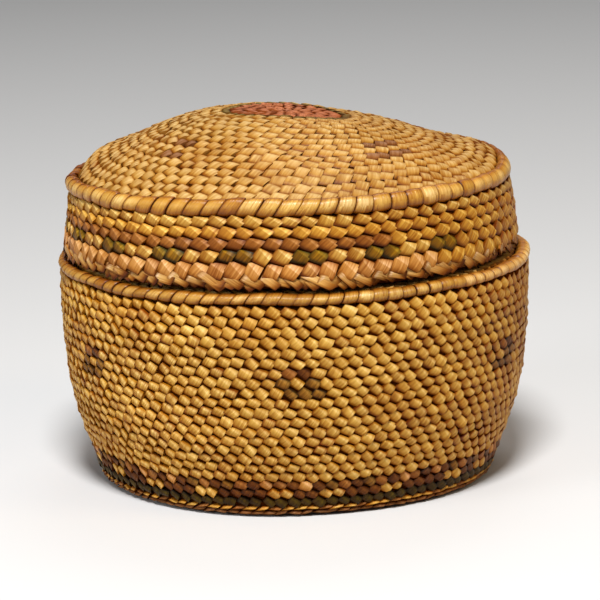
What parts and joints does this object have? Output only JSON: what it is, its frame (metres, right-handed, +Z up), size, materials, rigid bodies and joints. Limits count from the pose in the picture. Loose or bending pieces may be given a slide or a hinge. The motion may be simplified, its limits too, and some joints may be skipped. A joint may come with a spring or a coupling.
{
  "type": "lidded basket",
  "caption": "Round twined basket with a domed lift-off lid on an inner collar, a wrapped shoulder coil and lid edge, dyed bands and a plaited base start.",
  "frame": {"origin": "middle of the base on the surface that the basket stands on", "axes": "+Z up along the basket's own axis, -Y towards the viewer of the picture, +X to the viewer's right"},
  "size_m": [0.09, 0.09, 0.0694],
  "materials": {
    "cedar_bark": "split inner bark, matt, reddish brown, with long fibres",
    "bundle_core": "bundle of dry bark and grass, matt, hidden under its wrapping",
    "natural_grass": "undyed split grass, aged to straw and honey, soft sheen",
    "gold_grass": "golden split grass, glossy along the strand",
    "rose_grass": "grass dyed rose, faded, soft sheen",
    "brown_grass": "grass dyed red-brown, faded, soft sheen",
    "green_grass": "grass dyed dark olive green, worn to orange on its high places",
    "red_grass": "grass dyed coral red, faded, matt",
    "motif_grass": "undyed grass with small spots of dark brown and rose"
  },
  "bodies": {
    "basket": {"base_strip_lengthwise_1": "cedar_bark", "base_strip_lengthwise_2": "cedar_bark", "base_strip_lengthwise_3": "cedar_bark", "base_strip_lengthwise_4": "cedar_bark", "base_strip_lengthwise_5": "cedar_bark", "base_strip_lengthwise_6": "cedar_bark", "base_strip_crosswise_1": "cedar_bark", "base_strip_crosswise_2": "cedar_bark", "base_strip_crosswise_3": "cedar_bark", "base_strip_crosswise_4": "cedar_bark", "base_strip_crosswise_5": "cedar_bark", "base_strip_crosswise_6": "cedar_bark", "base_twining": "cedar_bark", "wall_stakes": "cedar_bark", "foot_course_natural": "natural_grass", "foot_course_green": "green_grass", "foot_course_pairs": "gold_grass", "foot_course_brown": "brown_grass", "wall_courses_lower": "natural_grass", "wall_courses_motif": "motif_grass", "wall_courses_upper": "natural_grass", "shoulder_rod": "bundle_core", "shoulder_wrapping": "gold_grass", "ledge_courses": "natural_grass", "collar_stakes": "cedar_bark", "collar_courses": "natural_grass", "collar_rim_binding": "gold_grass"},
    "lid": {"lid_hem": "cedar_bark", "lid_side_course_rose": "rose_grass", "lid_side_course_green_pairs": "green_grass", "lid_side_course_brown": "brown_grass", "lid_side_course_gold": "gold_grass", "lid_side_course_natural": "natural_grass", "lid_side_stakes": "cedar_bark", "lid_edge_rod": "bundle_core", "lid_edge_wrapping": "gold_grass", "lid_top_courses_outer": "natural_grass", "lid_top_courses_motif": "motif_grass", "lid_top_courses_inner": "natural_grass", "crown_border_course": "green_grass", "crown_patch": "red_grass", "lid_top_stakes": "cedar_bark"}
  },
  "joints": [
    {"name": "lid_lift", "type": "slide", "parent": "basket", "child": "lid", "axis": [0, 0, 1], "range_m": [0, 0.06]}
  ]
}
